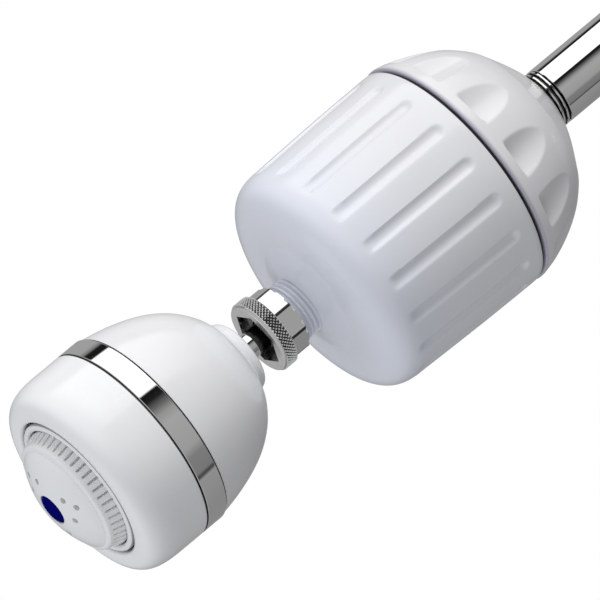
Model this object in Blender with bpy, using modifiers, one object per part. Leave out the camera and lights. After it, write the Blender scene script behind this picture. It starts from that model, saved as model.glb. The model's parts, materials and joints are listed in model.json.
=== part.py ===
"""Shower filter on a chrome wall arm, with a swivel shower head.

Metres, +Z up. The wall is the plane X = 0 and the arm leaves it towards -X. Everything below the arm's bend
is turned about one axis that hangs at 45 degrees. Stations along that axis are in millimetres from the
filter's seam, positive towards the arm.
"""
import math

import bmesh
import bpy
from mathutils import Matrix, Vector

MM = 0.001
COLLECTION = "wall_shower_filter"
CUTTERS = "cutters"

# wall arm
PIPE_RADIUS = 10.65
PIPE_BORE = 7.9
HANG_ANGLE = 45.0
BEND_RADIUS = 60.0
WALL_RUN = 70.0
WALL_THREAD = 18.0
BEND_END_STATION = 84.0
ARM_END_STATION = 26.7
THREAD_PITCH = 1.814
THREAD_DEPTH = 0.75
FLANGE_RADIUS = 31.0

# filter
FLUTES = 18
FLUTE_PHASE = 9.5
FLUTE_RADIUS = 2.7
SCOOPS = 12
SCOOP_PHASE = 21.2
NUT_FLATS = 8
NUT_PHASE = 14.2

# head
BALL_STATION = -81.5
BALL_RADIUS = 7.0
SEAT_RADIUS = 7.15
DIAL_RIBS = 48
RIB_PHASE = 4.9
OUTLET_PHASE = 31.9
OUTLET_RADIUS = 0.9
SCREW_RADIUS = 26.6
VANES = 8

STEPS_LARGE = 28
STEPS_MEDIUM = 20
STEPS_SMALL = 16


def clear_scene():
    for thing in list(bpy.data.objects):
        bpy.data.objects.remove(thing, do_unlink=True)


def collection(name):
    group = bpy.data.collections.new(name)
    bpy.context.scene.collection.children.link(group)
    return group


def material(name, color, roughness, metallic=0.0):
    mat = bpy.data.materials.new(name)
    mat.use_nodes = True
    shader = mat.node_tree.nodes["Principled BSDF"]
    shader.inputs["Base Color"].default_value = (*color, 1.0)
    shader.inputs["Roughness"].default_value = roughness
    shader.inputs["Metallic"].default_value = metallic
    mat.diffuse_color = (*color, 1.0)
    return mat


clear_scene()
PARTS = collection(COLLECTION)
TOOLS = collection(CUTTERS)


def frame(name, parent=None, station=0.0):
    """An empty on the axis, at a station. Children are placed by their own stations."""
    node = bpy.data.objects.new(name, None)
    node.empty_display_size = 0.01
    PARTS.objects.link(node)
    node["station"] = station
    if parent is not None:
        node.parent = parent
        node.location = (0.0, 0.0, (station - parent["station"]) * MM)
    return node


def place(node, parent):
    if parent is not None:
        node.parent = parent


def part(name, mesh, mat, parent):
    node = bpy.data.objects.new(name, mesh)
    PARTS.objects.link(node)
    node.data.materials.append(mat)
    place(node, parent)
    return node


def cutter(name, mesh, parent):
    node = bpy.data.objects.new(name, mesh)
    TOOLS.objects.link(node)
    node.hide_render = True
    node.display_type = "WIRE"
    place(node, parent)
    return node


def profile_mesh(name, points, base, closed):
    """A profile in the XZ plane, from (radius, station) pairs in millimetres."""
    mesh = bpy.data.meshes.new(name)
    shape = bmesh.new()
    verts = [shape.verts.new((r * MM, 0.0, (s - base) * MM)) for r, s in points]
    for first, second in zip(verts, verts[1:]):
        shape.edges.new((first, second))
    if closed:
        shape.edges.new((verts[-1], verts[0]))
    shape.to_mesh(mesh)
    shape.free()
    return mesh


def spin(node, steps):
    turn = node.modifiers.new("turn", "SCREW")
    turn.axis = "Z"
    turn.angle = math.tau
    turn.steps = steps
    turn.render_steps = steps
    turn.use_merge_vertices = True
    turn.merge_threshold = 0.00001
    turn.use_smooth_shade = True
    turn.use_normal_calculate = False


def turned(name, points, mat, parent, steps=STEPS_MEDIUM):
    """A turned solid. The profile runs down its outer side. A ring's profile closes on itself."""
    base = parent["station"] if parent is not None else 0.0
    closed = points[0][0] > 0.0
    node = part(name, profile_mesh(name, points, base, closed), mat, parent)
    spin(node, steps)
    return node


def turned_cutter(name, points, parent, steps=STEPS_MEDIUM):
    base = parent["station"]
    node = cutter(name, profile_mesh(name, points, base, points[0][0] > 0.0), parent)
    spin(node, steps)
    return node


def shape_mesh(name, shape):
    mesh = bpy.data.meshes.new(name)
    bmesh.ops.recalc_face_normals(shape, faces=shape.faces)
    shape.to_mesh(mesh)
    shape.free()
    return mesh


def cylinder(shape, radius, top, bottom, offset=0.0, angle=0.0, segments=16):
    """An upright cylinder between two heights in millimetres, set off the axis at an angle in degrees."""
    turn = Matrix.Rotation(math.radians(angle), 4, "Z")
    centre = turn @ Vector((offset * MM, 0.0, 0.5 * (top + bottom) * MM))
    bmesh.ops.create_cone(shape, cap_ends=True, segments=segments, radius1=radius * MM, radius2=radius * MM,
                          depth=(top - bottom) * MM, matrix=Matrix.Translation(centre) @ turn)


def box(shape, size, centre, angle=0.0, tilt=0.0):
    turn = Matrix.Rotation(math.radians(angle), 4, "Z")
    lean = Matrix.Rotation(math.radians(tilt), 4, "Y")
    grow = Matrix.Diagonal((size[0] * MM, size[1] * MM, size[2] * MM, 1.0))
    move = Matrix.Translation(Vector(centre) * MM)
    bmesh.ops.create_cube(shape, size=1.0, matrix=turn @ move @ lean @ grow)


def combine(node, tool, operation="DIFFERENCE"):
    step = node.modifiers.new(tool.name, "BOOLEAN")
    step.operation = operation
    step.solver = "EXACT"
    step.object = tool


def shoulder(face_station, face_radius, side_station, side_radius, power, count):
    """Points from the side of a barrel round to its end face."""
    points = []
    for index in range(count + 1):
        angle = 0.5 * math.pi * (1.0 - index / count)
        reach = math.cos(angle) ** (2.0 / power) if angle < 1.5707 else 0.0
        rise = math.sin(angle) ** (2.0 / power) if index < count else 0.0
        points.append((face_radius + (side_radius - face_radius) * rise,
                       side_station + (face_station - side_station) * reach))
    return points


def ring_points(radius, station, minor, count=6):
    """The round section of an O-ring, run downwards on its outer side."""
    points = []
    for index in range(count):
        angle = math.tau * index / count
        points.append((radius + minor * math.cos(angle), station - minor * math.sin(angle)))
    return points


def thread_rings(start, turns, crest, root, step):
    """A plain ringed thread: crests and roots, one pair for each turn, going down from start."""
    points = []
    for index in range(turns):
        top = start - index * step
        points.append((crest, top))
        points.append((crest, top - 0.3 * step))
        points.append((root, top - 0.65 * step))
    return points


WHITE = (0.86, 0.86, 0.88)
CHROME = (0.80, 0.80, 0.81)
white_cap = material("white_cap", WHITE, 0.22)
white_housing = material("white_housing", (0.85, 0.86, 0.89), 0.22)
white_rear = material("white_rear", WHITE, 0.2)
white_front = material("white_front", WHITE, 0.2)
white_ring = material("white_ring", (0.84, 0.84, 0.85), 0.3)
white_dial = material("white_dial", (0.84, 0.84, 0.85), 0.3)
chrome_arm = material("chrome_arm", CHROME, 0.08, 1.0)
chrome_flange = material("chrome_flange", CHROME, 0.1, 1.0)
chrome_nut = material("chrome_nut", CHROME, 0.12, 1.0)
chrome_ball = material("chrome_ball", CHROME, 0.1, 1.0)
chrome_trim = material("chrome_trim", CHROME, 0.06, 1.0)
navy = material("navy", (0.02, 0.03, 0.3), 0.25)
black_rubber = material("black_rubber", (0.03, 0.03, 0.03), 0.7)
nylon = material("nylon", (0.7, 0.69, 0.64), 0.5)
black_acetal = material("black_acetal", (0.04, 0.04, 0.045), 0.4)
cartridge_white = material("cartridge_white", (0.75, 0.75, 0.75), 0.4)
screen_steel = material("screen_steel", (0.55, 0.56, 0.57), 0.35, 1.0)
felt = material("felt", (0.78, 0.77, 0.73), 0.95)
granules = material("granules", (0.46, 0.36, 0.2), 0.8)
green_plastic = material("green_plastic", (0.1, 0.45, 0.25), 0.4)
grey_plastic = material("grey_plastic", (0.32, 0.33, 0.35), 0.45)
screw_steel = material("screw_steel", (0.6, 0.6, 0.6), 0.3, 1.0)


# frames: one for each joint axis
hang = math.radians(HANG_ANGLE)
tangent = BEND_RADIUS * math.tan(0.5 * hang)
corner = Vector((-(WALL_RUN + tangent), 0.0, 0.0))
down_arm = Vector((-math.cos(hang), 0.0, -math.sin(hang)))
corner_station = BEND_END_STATION + tangent

wall_frame = frame("wall_frame")
filter_axis = frame("filter_axis", wall_frame, 0.0)
filter_axis.location = (corner + corner_station * down_arm) * MM
filter_axis.rotation_euler = (0.0, 0.5 * math.pi - hang, 0.0)
housing_axis = frame("housing_axis", filter_axis, 0.0)
azimuth_axis = frame("azimuth_axis", housing_axis, BALL_STATION)
tilt_axis = frame("tilt_axis", azimuth_axis, BALL_STATION)
head_axis = frame("head_axis", tilt_axis, BALL_STATION)
dial_axis = frame("dial_axis", head_axis, -160.0)
turbine_axis = frame("turbine_axis", head_axis, -150.0)


# wall flange: a shallow bell on the wall, turned about the arm's horizontal run
flange_frame = frame("flange_frame", wall_frame, 0.0)
flange_frame.rotation_euler = (0.0, -0.5 * math.pi, 0.0)
turned("wall_flange",
       [(11.0, 12.4), (12.3, 12.4), (13.4, 11.6), (18.5, 8.9), (24.5, 6.6), (29.2, 4.4), (31.0, 2.0),
        (FLANGE_RADIUS, 0.0), (28.4, 0.0), (28.2, 2.6), (23.8, 4.9), (17.8, 7.3), (12.6, 9.9), (11.0, 9.9)],
       chrome_flange, flange_frame)


# shower arm: a bent pipe with a ringed thread at each end
def arm_path(name, radius, overrun):
    """The arm's centre line, with its ends run on by overrun millimetres."""
    curve = bpy.data.curves.new(name, "CURVE")
    curve.dimensions = "3D"
    curve.bevel_depth = radius * MM
    curve.bevel_resolution = 4
    curve.use_fill_caps = True
    points = [Vector((WALL_THREAD + overrun, 0.0, 0.0))]
    centre = Vector((-WALL_RUN, 0.0, -BEND_RADIUS))
    bends = 7
    for index in range(bends + 1):
        angle = hang * index / bends
        points.append(centre + BEND_RADIUS * Vector((-math.sin(angle), 0.0, math.cos(angle))))
    points.append(corner + (corner_station - ARM_END_STATION + overrun) * down_arm)
    line = curve.splines.new("POLY")
    line.points.add(len(points) - 1)
    for point, place_at in zip(line.points, points):
        point.co = (*(place_at * MM), 1.0)
    guide = bpy.data.objects.new(name, curve)
    TOOLS.objects.link(guide)
    depsgraph = bpy.context.evaluated_depsgraph_get()
    mesh = bpy.data.meshes.new_from_object(guide.evaluated_get(depsgraph))
    bpy.data.objects.remove(guide, do_unlink=True)
    shape = bmesh.new()
    shape.from_mesh(mesh)
    bmesh.ops.remove_doubles(shape, verts=shape.verts, dist=0.000001)
    bmesh.ops.recalc_face_normals(shape, faces=shape.faces)
    shape.to_mesh(mesh)
    shape.free()
    return mesh


def groove_rings(name, parent, first, turns, step):
    """V-shaped ring cutters for a thread, in one object."""
    shape = bmesh.new()
    for index in range(turns):
        middle = first - index * step - parent["station"]
        rings = [shape.verts.new((radius * MM, 0.0, (middle + rise) * MM))
                 for radius, rise in ((PIPE_RADIUS + 0.35, 0.48 * step), (PIPE_RADIUS + 0.35, -0.48 * step),
                                      (PIPE_RADIUS - THREAD_DEPTH, 0.0))]
        for start, end in zip(rings, rings[1:] + rings[:1]):
            shape.edges.new((start, end))
    mesh = bpy.data.meshes.new(name)
    shape.to_mesh(mesh)
    shape.free()
    node = cutter(name, mesh, parent)
    spin(node, STEPS_SMALL)
    return node


arm = part("shower_arm", arm_path("shower_arm", PIPE_RADIUS, 0.0), chrome_arm, wall_frame)
arm_bore = cutter("arm_bore", arm_path("arm_bore", PIPE_BORE, 2.0), wall_frame)
combine(arm, arm_bore)
combine(arm, groove_rings("arm_thread_low", filter_axis, 43.2, 3, THREAD_PITCH))
combine(arm, groove_rings("arm_thread_wall", flange_frame, -5.0, 5, THREAD_PITCH))


# filter cap: a dome with a threaded socket above and a skirt that goes into the housing
cap = turned("filter_cap",
             [(11.0, 38.8), (12.4, 38.8), (13.3, 38.5), (18.5, 35.9), (24.8, 32.0), (30.2, 28.1), (34.0, 23.9),
              (36.9, 19.6), (39.1, 15.4), (41.0, 11.1), (42.5, 6.9), (43.4, 3.4), (43.75, 1.7), (43.6, 0.8),
              (43.1, 0.5), (38.3, 0.5), (38.3, -1.8), (36.8, -1.8), (36.8, -4.7), (38.3, -4.7), (38.3, -13.0),
              (35.6, -13.0), (35.6, 8.0), (33.4, 18.5), (27.5, 26.0), (20.0, 31.2), (14.6, 33.5), (14.6, 22.6),
              (7.5, 22.6), (7.5, 24.7), (11.0, 24.7)],
             white_cap, filter_axis, STEPS_LARGE)

scoops = bmesh.new()
edge = Vector((43.0, 0.0, 5.0))
along = (Vector((36.0, 0.0, 20.9)) - edge).normalized()
outward = Vector((along.z, 0.0, -along.x))
for index in range(SCOOPS):
    turn = Matrix.Rotation(math.radians(SCOOP_PHASE + index * 360.0 / SCOOPS), 4, "Z")
    axes = Matrix((outward, Vector((0.0, 1.0, 0.0)), along)).transposed().to_4x4()
    move = Matrix.Translation((edge + 2.2 * outward) * MM)
    grow = Matrix.Diagonal((4.0 * MM, 8.4 * MM, 19.2 * MM, 1.0))
    made = bmesh.ops.create_uvsphere(scoops, u_segments=12, v_segments=8, radius=1.0)
    half = made["verts"]
    near = {face for vert in half for face in vert.link_faces}
    lines = {line for vert in half for line in vert.link_edges}
    cut = bmesh.ops.bisect_plane(scoops, geom=list(half) + list(lines) + list(near), plane_co=(0.0, 0.0, 0.0),
                                 plane_no=(0.0, 0.0, -1.0), clear_outer=True)
    rim = [item for item in cut["geom_cut"] if isinstance(item, bmesh.types.BMEdge)]
    bmesh.ops.contextual_create(scoops, geom=rim)
    kept = {vert for item in cut["geom"] + cut["geom_cut"] if isinstance(item, bmesh.types.BMVert)
            for vert in (item,) if vert.is_valid}
    bmesh.ops.transform(scoops, matrix=turn @ move @ axes @ grow, verts=list(kept))
combine(cap, cutter("scoop_cutters", shape_mesh("scoop_cutters", scoops), filter_axis))

turned("inlet_washer", [(10.7, 26.3), (10.7, 25.0), (7.8, 25.0), (7.8, 26.3)], black_rubber, filter_axis)
turned("housing_oring", ring_points(38.2, -3.25, 1.25), black_rubber, filter_axis, STEPS_LARGE)


# cartridge
turned("cartridge_shell",
       [(34.0, 8.0), (34.0, -57.0), (6.6, -57.0), (6.6, -61.9), (4.6, -61.9), (4.6, -55.4), (32.4, -55.4),
        (32.4, 8.0)],
       cartridge_white, filter_axis, STEPS_LARGE)
turned("cartridge_seal", [(10.5, -57.3), (10.5, -62.0), (6.9, -62.0), (6.9, -57.3)], black_rubber, filter_axis)


def screen(name, radius, top, bottom, mat, parent, rows, hole):
    """A flat disc with rings of holes through it."""
    base = parent["station"]
    node = turned(name, [(0.0, top), (radius, top), (radius, bottom), (0.0, bottom)], mat, parent)
    holes = bmesh.new()
    for offset, count in rows:
        for index in range(count):
            cylinder(holes, hole, top - base + 1.0, bottom - base - 1.0, offset, index * 360.0 / count, 5)
    combine(node, cutter(name + "_holes", shape_mesh(name + "_holes", holes), parent))
    return node


screen("cartridge_top_screen", 32.1, 5.5, 4.5, screen_steel, filter_axis, ((11.0, 4), (24.0, 8)), 3.0)
turned("felt_pad_top", [(0.0, 4.2), (32.1, 4.2), (32.1, 1.2), (0.0, 1.2)], felt, filter_axis)
turned("media_bed", [(0.0, 0.9), (32.1, 0.9), (32.1, -50.5), (0.0, -50.5)], granules, filter_axis)
turned("felt_pad_bottom", [(0.0, -50.8), (32.1, -50.8), (32.1, -53.8), (0.0, -53.8)], felt, filter_axis)
screen("cartridge_bottom_screen", 32.1, -54.1, -55.1, screen_steel, filter_axis,
       ((11.0, 4), (24.0, 8)), 3.0)


# housing: a fluted cup with a threaded outlet
outer = [(39.9, -0.55), (43.0, -0.55), (43.4, -1.0), (43.45, -8.0), (43.1, -30.0)]
outer += shoulder(-65.9, 21.1, -50.9, 42.5, 3.05, 7)
outer += [(13.6, -68.2), (11.8, -68.9), (10.0, -69.5)]
outer += thread_rings(-69.9, 4, PIPE_RADIUS, 9.85, THREAD_PITCH)[:-1]
outer += [(9.85, -76.2), (9.85, -79.0), (7.6, -79.0), (7.6, -62.3), (13.0, -62.3), (13.0, -63.2), (20.0, -62.6),
          (32.0, -59.6), (37.4, -55.0), (39.4, -48.0), (39.4, -14.0), (38.6, -13.4), (38.6, -5.6), (39.9, -5.4)]
housing = turned("filter_housing", outer, white_housing, housing_axis, STEPS_LARGE)

flutes = bmesh.new()
for index in range(FLUTES):
    made = bmesh.ops.create_uvsphere(flutes, u_segments=8, v_segments=6, radius=FLUTE_RADIUS * MM)
    for vert in made["verts"]:
        if vert.co.z < 0.0001 * MM:
            vert.co.z -= 44.0 * MM
            vert.co.x -= 0.7 * MM
    turn = Matrix.Rotation(math.radians(FLUTE_PHASE + index * 360.0 / FLUTES), 4, "Z")
    move = Matrix.Translation(Vector((42.2 + FLUTE_RADIUS, 0.0, -8.7)) * MM)
    bmesh.ops.transform(flutes, matrix=turn @ move, verts=made["verts"])
combine(housing, cutter("flute_cutters", shape_mesh("flute_cutters", flutes), housing_axis))

screen("inlet_screen", 7.3, -64.4, -65.4, screen_steel, housing_axis, ((4.2, 8),), 1.1)
screen("flow_restrictor", 7.3, -67.0, -70.5, green_plastic, housing_axis, ((4.6, 6),), 0.9)


# swivel nut: eight flats at the back, a round band for knurling at the front
nut_back = bmesh.new()
cylinder(nut_back, 12.5, -76.3, -83.6, segments=NUT_FLATS)
bmesh.ops.rotate(nut_back, verts=nut_back.verts, matrix=Matrix.Rotation(math.radians(NUT_PHASE), 3, "Z"))
nut = part("swivel_nut", shape_mesh("swivel_nut", nut_back), chrome_nut, housing_axis)
combine(nut, turned_cutter("nut_band",
                           [(0.0, -83.2), (12.9, -83.2), (13.5, -83.6), (13.5, -87.9), (12.7, -88.8), (0.0, -88.8)],
                           housing_axis), "UNION")
combine(nut, turned_cutter("nut_cavity",
                           [(0.0, -70.0), (10.3, -70.0), (10.3, -80.9), (9.3, -80.9), (9.3, -84.2), (6.75, -84.2),
                            (6.4, -84.9), (7.6, -85.8), (11.8, -88.8), (12.0, -95.0), (0.0, -95.0)],
                           housing_axis))
turned("ball_seal", [(10.0, -79.3), (10.0, -80.6), (7.2, -80.6), (6.9, -79.3)], black_rubber, housing_axis)


# ball joint
def seat_radius(station):
    return math.sqrt(SEAT_RADIUS ** 2 - (station - BALL_STATION) ** 2) + 0.05


turned("swivel_ring",
       [(9.05, -81.2), (9.05, -83.9), (seat_radius(-83.9), -83.9), (seat_radius(-83.0), -83.0),
        (seat_radius(-82.1), -82.1), (seat_radius(-81.2), -81.2)],
       black_acetal, azimuth_axis)

ball = []
for index in range(9):
    angle = math.radians(21.8 + (140.0 - 21.8) * index / 8)
    ball.append((BALL_RADIUS * math.sin(angle), BALL_STATION + BALL_RADIUS * math.cos(angle)))
ball += [(4.5, -87.2), (4.5, -100.6), (6.1, -100.6), (6.1, -103.0), (2.6, -103.0)]
turned("ball_stem", ball, chrome_ball, tilt_axis)
turned("stem_oring", ring_points(5.37, -99.6, 0.72), black_rubber, tilt_axis)


# head: rear shell
rear = turned("head_rear_shell",
              [(4.8, -96.6), (10.4, -96.6), (12.3, -97.4), (13.3, -98.9), (14.0, -100.5), (16.3, -101.4),
               (19.9, -103.2), (24.3, -107.1), (27.7, -111.3), (30.2, -115.5), (32.1, -119.6), (33.6, -123.8),
               (34.8, -128.0), (35.8, -132.1), (36.75, -137.0), (36.6, -137.4), (34.6, -137.4), (34.6, -133.0),
               (32.6, -128.0), (30.0, -120.0), (24.0, -110.5), (17.0, -105.6), (9.4, -105.6), (9.4, -108.0),
               (6.5, -108.0), (6.5, -98.6), (4.8, -98.6)],
              white_rear, head_axis, STEPS_LARGE)
bosses = bmesh.new()
pilots = bmesh.new()
for index in range(3):
    cylinder(bosses, 3.0, -114.5 - BALL_STATION, -133.7 - BALL_STATION, SCREW_RADIUS, index * 120.0, 12)
    cylinder(pilots, 1.5, -118.0 - BALL_STATION, -140.0 - BALL_STATION, SCREW_RADIUS, index * 120.0, 10)
combine(rear, cutter("screw_bosses", shape_mesh("screw_bosses", bosses), head_axis), "UNION")
combine(rear, cutter("screw_pilots", shape_mesh("screw_pilots", pilots), head_axis))

turned("chrome_band", [(35.9, -137.7), (37.0, -137.7), (37.15, -138.0), (37.15, -145.7), (37.0, -146.0),
                       (35.9, -146.0)], chrome_trim, head_axis, STEPS_LARGE)

front = [(33.0, -134.0), (34.3, -134.0), (34.3, -137.7), (35.6, -137.7), (35.6, -146.2), (36.95, -146.3),
         (37.2, -146.7)]
front += shoulder(-170.8, 27.4, -160.1, 37.2, 2.3, 6)
front += [(26.6, -170.4), (26.35, -169.5), (26.35, -167.6), (30.4, -165.2), (33.6, -159.5), (34.6, -152.0),
          (33.2, -145.0), (32.3, -141.0), (32.3, -134.0)]
turned("head_front_shell", front[1:], white_front, head_axis, STEPS_LARGE)


# manifold: inlet tube, plate, chamber wall and dial spindle
manifold = turned("manifold",
                  [(0.0, -132.0), (10.5, -132.0), (4.4, -124.0), (4.4, -103.4), (6.1, -103.4), (6.1, -122.5),
                   (13.0, -130.5), (20.0, -134.1), (31.9, -134.1), (31.9, -134.5), (30.0, -134.5),
                   (30.0, -136.4), (31.9, -136.4), (31.9, -137.0), (22.2, -137.0), (22.2, -152.0), (20.5, -152.0),
                   (20.5, -137.2), (4.0, -137.2), (4.0, -173.2), (1.5, -173.2), (1.5, -163.5), (0.0, -163.5)],
                  grey_plastic, head_axis)
ports = bmesh.new()
for index in range(5):
    cylinder(ports, 1.7, -128.0 - BALL_STATION, -140.0 - BALL_STATION, 7.2, index * 72.0, 6)
for index in range(3):
    cylinder(ports, 1.7, -130.0 - BALL_STATION, -140.0 - BALL_STATION, SCREW_RADIUS, index * 120.0, 10)
combine(manifold, cutter("manifold_ports", shape_mesh("manifold_ports", ports), head_axis))
turned("manifold_oring", ring_points(31.05, -135.45, 0.75), black_rubber, head_axis)


def screw(name, head_radius, head_top, head_low, shank_radius, shank_top, mat, parent):
    """A pan-head screw: the head faces down the axis and the shank points up it."""
    return turned(name, [(0.0, shank_top), (shank_radius * 0.7, shank_top), (shank_radius, shank_top - 0.8),
                         (shank_radius, head_top), (head_radius, head_top), (head_radius, head_low + 0.5),
                         (head_radius - 0.6, head_low), (0.0, head_low)], mat, parent, 12)


for index in range(3):
    fastener = screw("manifold_screw_%d" % (index + 1), 2.7, -137.3, -139.3, 1.3, -121.0, screw_steel, head_axis)
    spot = math.radians(index * 120.0)
    fastener.location = (math.cos(spot) * SCREW_RADIUS * MM, math.sin(spot) * SCREW_RADIUS * MM, 0.0)

turned("face_ring", [(22.8, -150.0), (26.0, -150.0), (26.0, -169.1), (25.5, -170.1), (24.5, -170.75),
                     (23.7, -170.4), (23.6, -161.0), (22.8, -160.0)], white_ring, head_axis)
turned("dial_seal", [(22.1, -152.3), (22.1, -157.7), (20.6, -157.7), (20.6, -152.3)], black_rubber, head_axis)


# dial
dial = turned("dial_face",
              [(20.3, -158.0), (22.2, -158.0), (23.0, -169.6), (23.0, -170.2), (21.4, -174.3), (20.7, -175.5),
               (17.0, -177.6), (13.0, -179.3), (9.0, -180.4), (6.0, -180.9), (5.7, -180.8), (5.7, -179.3),
               (3.2, -179.3), (3.2, -176.6), (1.6, -176.6), (1.6, -173.5), (4.3, -173.5), (4.3, -160.0),
               (7.5, -160.0), (7.5, -176.2), (13.0, -175.6), (18.6, -173.0), (20.3, -169.0)],
              white_dial, dial_axis)
outlets = bmesh.new()
for group in range(3):
    base = OUTLET_PHASE + group * 120.0
    for offset, angle in ((10.6, -22.6), (13.9, -3.6), (10.6, 22.6)):
        cylinder(outlets, OUTLET_RADIUS, -172.0 + 160.0, -184.0 + 160.0, offset, base + angle, 8)
combine(dial, cutter("outlet_holes", shape_mesh("outlet_holes", outlets), dial_axis))
slots = bmesh.new()
for index in range(DIAL_RIBS):
    box(slots, (1.6, 1.1, 5.4), (23.15, 0.0, -12.2), RIB_PHASE + index * 360.0 / DIAL_RIBS, 22.0)
combine(dial, cutter("rib_slots", shape_mesh("rib_slots", slots), dial_axis))

turned("blue_cap", [(0.0, -179.6), (5.4, -179.6), (5.4, -180.8), (4.6, -181.05), (0.0, -181.2)], navy, dial_axis)
screw("dial_screw", 2.9, -176.9, -179.0, 1.25, -165.0, screw_steel, dial_axis)


# turbine
turbine = turned("turbine",
                 [(4.3, -138.0), (6.3, -138.0), (6.3, -149.4), (19.0, -149.4), (19.0, -151.0), (6.3, -151.0),
                  (6.3, -159.6), (4.3, -159.6)],
                 nylon, turbine_axis)
vanes = bmesh.new()
for index in range(VANES):
    box(vanes, (12.4, 1.2, 9.2), (12.2, 0.0, 5.1), index * 360.0 / VANES, 0.0)
combine(turbine, cutter("turbine_vanes", shape_mesh("turbine_vanes", vanes), turbine_axis), "UNION")


for node in PARTS.objects:
    if node.type == "MESH":
        node.data.shade_smooth()
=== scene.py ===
"""Looks for the wall-arm shower filter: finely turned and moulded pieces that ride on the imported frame.

Lengths in the piece code are millimetres. A turned piece is drawn in its own axis space: +Z runs up the hang
axis towards the arm, and a station is a height along it, counted from the filter's seam. A profile is a list
of (radius, station) points. Its outer side runs downwards, so that the normals point outwards.
"""
import json
import math

import bmesh
import bpy
import numpy as np
from mathutils import Matrix, Vector


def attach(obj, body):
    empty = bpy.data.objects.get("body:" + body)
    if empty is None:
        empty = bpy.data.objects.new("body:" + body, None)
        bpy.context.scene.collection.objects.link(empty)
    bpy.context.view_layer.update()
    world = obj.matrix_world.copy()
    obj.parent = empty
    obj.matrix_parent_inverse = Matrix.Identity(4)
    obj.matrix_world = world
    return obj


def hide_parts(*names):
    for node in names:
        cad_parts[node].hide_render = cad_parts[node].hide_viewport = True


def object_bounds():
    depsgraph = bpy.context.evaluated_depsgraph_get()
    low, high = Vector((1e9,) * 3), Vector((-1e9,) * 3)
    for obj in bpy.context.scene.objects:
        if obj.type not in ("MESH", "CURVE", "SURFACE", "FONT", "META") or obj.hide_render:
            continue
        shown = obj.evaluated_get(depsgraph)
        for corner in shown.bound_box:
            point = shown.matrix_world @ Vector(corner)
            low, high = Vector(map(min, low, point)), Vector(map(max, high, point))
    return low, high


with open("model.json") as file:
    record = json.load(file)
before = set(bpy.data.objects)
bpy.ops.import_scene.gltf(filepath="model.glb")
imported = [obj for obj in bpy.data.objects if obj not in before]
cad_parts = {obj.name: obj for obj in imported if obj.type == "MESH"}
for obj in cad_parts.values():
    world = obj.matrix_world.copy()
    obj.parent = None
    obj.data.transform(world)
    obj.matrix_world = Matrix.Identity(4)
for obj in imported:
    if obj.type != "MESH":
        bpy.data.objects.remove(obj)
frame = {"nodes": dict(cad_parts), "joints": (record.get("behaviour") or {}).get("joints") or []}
cad_low, cad_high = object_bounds()

MM = 0.001
Y_AXIS = Vector((0.0, 1.0, 0.0))
scene = bpy.context.scene
joints = {joint["name"]: joint for joint in frame["joints"]}
SEAM = Vector(joints["housing_unscrew"]["pos_m"])
UP_AXIS = -Vector(joints["housing_unscrew"]["axis"]).normalized()
SIDE_AXIS = Vector((UP_AXIS.z, 0.0, -UP_AXIS.x))

# places for turned pieces: on the hang axis with the seam at station 0, and on the wall with +Z into the room
HANG = Matrix.Translation(SEAM) @ Matrix((SIDE_AXIS, Y_AXIS, UP_AXIS)).transposed().to_4x4()
WALL = Matrix.Rotation(-0.5 * math.pi, 4, "Y")

PITCH = 1.814           # of the half inch pipe threads
THREAD = 0.95           # their depth
THREAD_STEP = 0.13      # between the rings of points that draw them
SHARP = 35.0            # degrees between faces from which an edge is shaded as sharp


# ---------------------------------------------------------------- profiles
def corner(before, point, after, reach, count=5):
    """Points of a soft corner: a short curve that starts and ends reach millimetres from the point, or just
    short of the middle of a shorter side."""
    tip = np.array(point)
    ends = []
    for neighbour in (before, after):
        side = np.array(neighbour) - tip
        length = np.hypot(*side)
        ends.append(tip + side / length * min(reach, 0.48 * length))
    start, end = ends
    made = []
    for t in np.linspace(0.0, 1.0, count):
        made.append(tuple((1 - t) ** 2 * start + 2 * t * (1 - t) * tip + t ** 2 * end))
    return made


def outline(points, closed=True, soft=0.25):
    """A profile with its corners eased. A point is (radius, station) or (radius, station, ease)."""
    made = []
    total = len(points)
    for index, point in enumerate(points):
        ease = point[2] if len(point) > 2 else soft
        here = point[:2]
        at_end = not closed and index in (0, total - 1)
        if at_end or ease <= 0.0:
            made.append(tuple(here))
            continue
        made += corner(points[index - 1][:2], here, points[(index + 1) % total][:2], ease)
    return made


def flowing(points, step):
    """A smooth curve through points, sampled about every step millimetres."""
    knots = np.array(points, float)
    ends = np.vstack([2 * knots[0] - knots[1], knots, 2 * knots[-1] - knots[-2]])
    made = []
    for index in range(len(knots) - 1):
        p0, p1, p2, p3 = ends[index:index + 4]
        count = max(1, int(math.ceil(np.hypot(*(p2 - p1)) / step)))
        for t in np.arange(count) / count:
            made.append(tuple(0.5 * (2 * p1 + (p2 - p0) * t + (2 * p0 - 5 * p1 + 4 * p2 - p3) * t ** 2
                                     + (3 * p1 - p0 - 3 * p2 + p3) * t ** 3)))
    made.append(tuple(knots[-1]))
    return made


def denser(points, low, high, step):
    """Splits the profile's steps so that none between two stations is longer than step."""
    made = [tuple(points[0])]
    for first, second in zip(points, points[1:]):
        a, b = np.array(first), np.array(second)
        inside = max(a[1], b[1]) > low and min(a[1], b[1]) < high
        count = max(1, int(math.ceil(np.hypot(*(b - a)) / step))) if inside else 1
        for t in np.arange(1, count + 1) / count:
            made.append(tuple(a + (b - a) * t))
    return made


def shoulder(face_station, face_radius, side_station, side_radius, power, count):
    """A rounded barrel end: from the side round to the end face, along a squared-off ellipse."""
    made = []
    for angle in np.linspace(0.5 * math.pi, 0.0, count):
        reach = max(math.cos(angle), 0.0) ** (2.0 / power)
        rise = math.sin(angle) ** (2.0 / power)
        made.append((face_radius + (side_radius - face_radius) * rise,
                     side_station + (face_station - side_station) * reach))
    return made


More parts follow.
